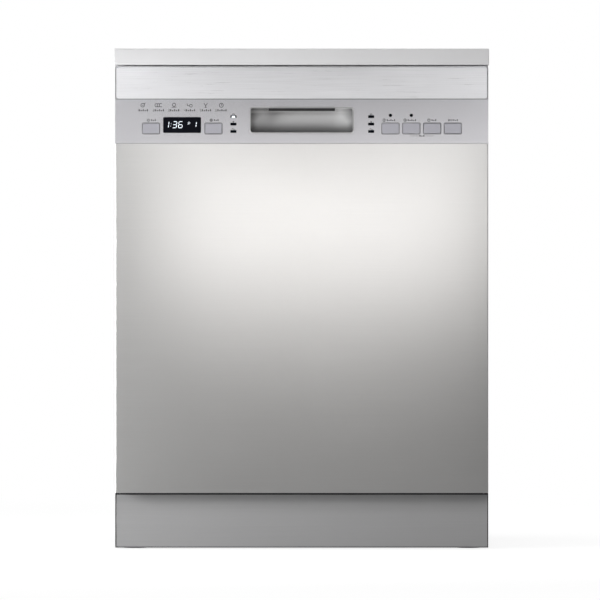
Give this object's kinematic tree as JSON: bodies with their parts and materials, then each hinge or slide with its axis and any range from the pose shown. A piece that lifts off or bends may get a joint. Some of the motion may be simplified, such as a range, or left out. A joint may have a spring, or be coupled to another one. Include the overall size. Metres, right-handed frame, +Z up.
{
  "type": "built-in dishwasher",
  "caption": "Full-width dishwasher for a kitchen run: stainless fold-down door with a button console and recessed grip, steel tub, wire racks, spray arms and a base with screw feet.",
  "frame": {"origin": "on the floor, at the middle of the overall box of the machine with its door closed", "axes": "+Z up, the door and its controls face -Y, +X to the right as seen from the front"},
  "size_m": [0.598, 0.6, 0.8],
  "materials": {
    "worktop": "satin light grey",
    "zinc": "zinc-coated sheet",
    "kick": "satin",
    "black_plastic": "matt",
    "tub_steel": "bright",
    "rubber": "matt",
    "silver_paint": "silver paint",
    "grey_plastic": "matt",
    "white_plastic": "matt",
    "door_steel": "brushed",
    "console_silver": "silver lacquer",
    "inlay": "brushed",
    "recess_silver": "silver lacquer",
    "dark_lens": "gloss",
    "circuit_board": "matt",
    "button_grey": "satin",
    "rack_wire": "nylon-coated wire"
  },
  "bodies": {
    "cabinet": {"worktop": "worktop", "rear_panel": "zinc", "front_crossbar": "zinc", "kickplate": "kick", "base_tray": "black_plastic", "tub": "tub_steel", "tub_gasket": "rubber", "sill_seal": "rubber", "side_panel_left": "silver_paint", "side_panel_right": "silver_paint", "hinge_bracket_left": "zinc", "hinge_bracket_right": "zinc", "sump": "grey_plastic", "filter_plate": "tub_steel", "water_softener": "white_plastic", "circulation_pump": "black_plastic", "drain_pump": "black_plastic", "inlet_valve": "white_plastic", "spray_feed_pipe": "grey_plastic", "rack_rail_left": "tub_steel", "rack_rail_right": "tub_steel"},
    "door": {"door_outer_panel": "door_steel", "door_inner_liner": "tub_steel", "control_console": "console_silver", "trim_strip": "inlay", "handle_recess": "recess_silver", "door_latch": "black_plastic", "display_lens": "dark_lens", "indicator_lens": "dark_lens", "control_board": "circuit_board", "hinge_arm_left": "zinc", "hinge_arm_right": "zinc", "dispenser_body": "grey_plastic"},
    "latch_lever": {"latch_lever": "black_plastic"},
    "detergent_lid": {"detergent_lid": "white_plastic"},
    "rinse_aid_cap": {"rinse_aid_cap": "white_plastic"},
    "upper_rack": {"upper_rack": "rack_wire", "upper_arm_feed_tube": "grey_plastic"},
    "upper_spray_arm": {"upper_spray_arm": "grey_plastic"},
    "rail_slides": {"slide_rail_left": "tub_steel", "slide_rail_right": "tub_steel"},
    "lower_rack": {"lower_rack": "rack_wire", "cutlery_basket": "grey_plastic"},
    "lower_spray_arm": {"lower_spray_arm": "grey_plastic"},
    "filter_cylinder": {"filter_cylinder": "grey_plastic"},
    "salt_cap": {"salt_cap": "grey_plastic"},
    "foot_front_left": {"foot_front_left": "black_plastic"},
    "foot_front_right": {"foot_front_right": "black_plastic"},
    "foot_rear_left": {"foot_rear_left": "black_plastic"},
    "foot_rear_right": {"foot_rear_right": "black_plastic"},
    "rack_wheel_front_left": {"rack_wheel_front_left": "grey_plastic"},
    "rack_wheel_front_right": {"rack_wheel_front_right": "grey_plastic"},
    "rack_wheel_rear_left": {"rack_wheel_rear_left": "grey_plastic"},
    "rack_wheel_rear_right": {"rack_wheel_rear_right": "grey_plastic"},
    "button_1": {"button_1": "button_grey"},
    "button_2": {"button_2": "button_grey"},
    "button_3": {"button_3": "button_grey"},
    "button_4": {"button_4": "button_grey"},
    "button_5": {"button_5": "button_grey"},
    "button_6": {"button_6": "button_grey"}
  },
  "joints": [
    {"name": "door_hinge", "type": "hinge", "parent": "cabinet", "child": "door", "pos_m": [0, -0.275, 0.096], "axis": [1, 0, 0], "range_deg": [0, 90], "stiffness_Nm_per_rad": 20},
    {"name": "lower_rack_roll", "type": "slide", "parent": "cabinet", "child": "lower_rack", "axis": [0, -1, 0], "range_m": [0, 0.176]},
    {"name": "upper_rack_slide", "type": "slide", "parent": "cabinet", "child": "upper_rack", "axis": [0, -1, 0], "range_m": [0, 0.409]},
    {"name": "rail_slide", "type": "slide", "parent": "cabinet", "child": "rail_slides", "axis": [0, -1, 0], "range_m": [0, 0.2045]},
    {"name": "rack_wheel_front_left_turn", "type": "hinge", "parent": "lower_rack", "child": "rack_wheel_front_left", "pos_m": [-0.234, -0.121, 0.1423], "axis": [1, 0, 0], "range_deg": [0, 561]},
    {"name": "rack_wheel_front_right_turn", "type": "hinge", "parent": "lower_rack", "child": "rack_wheel_front_right", "pos_m": [0.234, -0.121, 0.1423], "axis": [1, 0, 0], "range_deg": [0, 561]},
    {"name": "rack_wheel_rear_left_turn", "type": "hinge", "parent": "lower_rack", "child": "rack_wheel_rear_left", "pos_m": [-0.234, 0.121, 0.1423], "axis": [1, 0, 0], "range_deg": [0, 561]},
    {"name": "rack_wheel_rear_right_turn", "type": "hinge", "parent": "lower_rack", "child": "rack_wheel_rear_right", "pos_m": [0.234, 0.121, 0.1423], "axis": [1, 0, 0], "range_deg": [0, 561]},
    {"name": "lower_spray_arm_spin", "type": "hinge", "parent": "cabinet", "child": "lower_spray_arm", "pos_m": [0, 0.01, 0.131], "axis": [0, 0, 1], "continuous": true},
    {"name": "upper_spray_arm_spin", "type": "hinge", "parent": "upper_rack", "child": "upper_spray_arm", "pos_m": [0, 0, 0.405], "axis": [0, 0, 1], "continuous": true},
    {"name": "filter_cylinder_turn", "type": "hinge", "parent": "cabinet", "child": "filter_cylinder", "pos_m": [0.045, -0.016, 0.11], "axis": [0, 0, 1], "range_deg": [0, 90]},
    {"name": "salt_cap_turn", "type": "hinge", "parent": "cabinet", "child": "salt_cap", "pos_m": [-0.17, -0.126, 0.115], "axis": [0, 0, 1], "range_deg": [0, 360]},
    {"name": "latch_lever_pull", "type": "hinge", "parent": "door", "child": "latch_lever", "pos_m": [0, -0.286, 0.7161], "axis": [-1, 0, 0], "range_deg": [0, 12], "stiffness_Nm_per_rad": 0.5},
    {"name": "detergent_lid_hinge", "type": "hinge", "parent": "door", "child": "detergent_lid", "pos_m": [-0.036, -0.2422, 0.298], "axis": [-1, 0, 0], "range_deg": [0, 95]},
    {"name": "rinse_aid_cap_turn", "type": "hinge", "parent": "door", "child": "rinse_aid_cap", "pos_m": [0.045, -0.2452, 0.346], "axis": [0, 1, 0], "range_deg": [0, 90]},
    {"name": "button_1_press", "type": "slide", "parent": "door", "child": "button_1", "axis": [0, 1, 0], "range_m": [0, 0.001], "stiffness_N_per_m": 400},
    {"name": "button_2_press", "type": "slide", "parent": "door", "child": "button_2", "axis": [0, 1, 0], "range_m": [0, 0.001], "stiffness_N_per_m": 400},
    {"name": "button_3_press", "type": "slide", "parent": "door", "child": "button_3", "axis": [0, 1, 0], "range_m": [0, 0.001], "stiffness_N_per_m": 400},
    {"name": "button_4_press", "type": "slide", "parent": "door", "child": "button_4", "axis": [0, 1, 0], "range_m": [0, 0.001], "stiffness_N_per_m": 400},
    {"name": "button_5_press", "type": "slide", "parent": "door", "child": "button_5", "axis": [0, 1, 0], "range_m": [0, 0.001], "stiffness_N_per_m": 400},
    {"name": "button_6_press", "type": "slide", "parent": "door", "child": "button_6", "axis": [0, 1, 0], "range_m": [0, 0.001], "stiffness_N_per_m": 400},
    {"name": "foot_front_left_turn", "type": "hinge", "parent": "cabinet", "child": "foot_front_left", "pos_m": [-0.268, -0.216, 0.02], "axis": [0, 0, 1], "continuous": true},
    {"name": "foot_front_right_turn", "type": "hinge", "parent": "cabinet", "child": "foot_front_right", "pos_m": [0.268, -0.216, 0.02], "axis": [0, 0, 1], "continuous": true},
    {"name": "foot_rear_left_turn", "type": "hinge", "parent": "cabinet", "child": "foot_rear_left", "pos_m": [-0.268, 0.2538, 0.02], "axis": [0, 0, 1], "continuous": true},
    {"name": "foot_rear_right_turn", "type": "hinge", "parent": "cabinet", "child": "foot_rear_right", "pos_m": [0.268, 0.2538, 0.02], "axis": [0, 0, 1], "continuous": true}
  ],
  "couplings": [
    {"joint": "lower_rack_roll", "follows": "door_hinge", "m_per_rad": 0.112},
    {"joint": "upper_rack_slide", "follows": "door_hinge", "m_per_rad": 0.26},
    {"joint": "rail_slide", "follows": "door_hinge", "m_per_rad": 0.13},
    {"joint": "rack_wheel_front_left_turn", "follows": "door_hinge", "ratio": 6.2222},
    {"joint": "rack_wheel_front_right_turn", "follows": "door_hinge", "ratio": 6.2222},
    {"joint": "rack_wheel_rear_left_turn", "follows": "door_hinge", "ratio": 6.2222},
    {"joint": "rack_wheel_rear_right_turn", "follows": "door_hinge", "ratio": 6.2222}
  ]
}
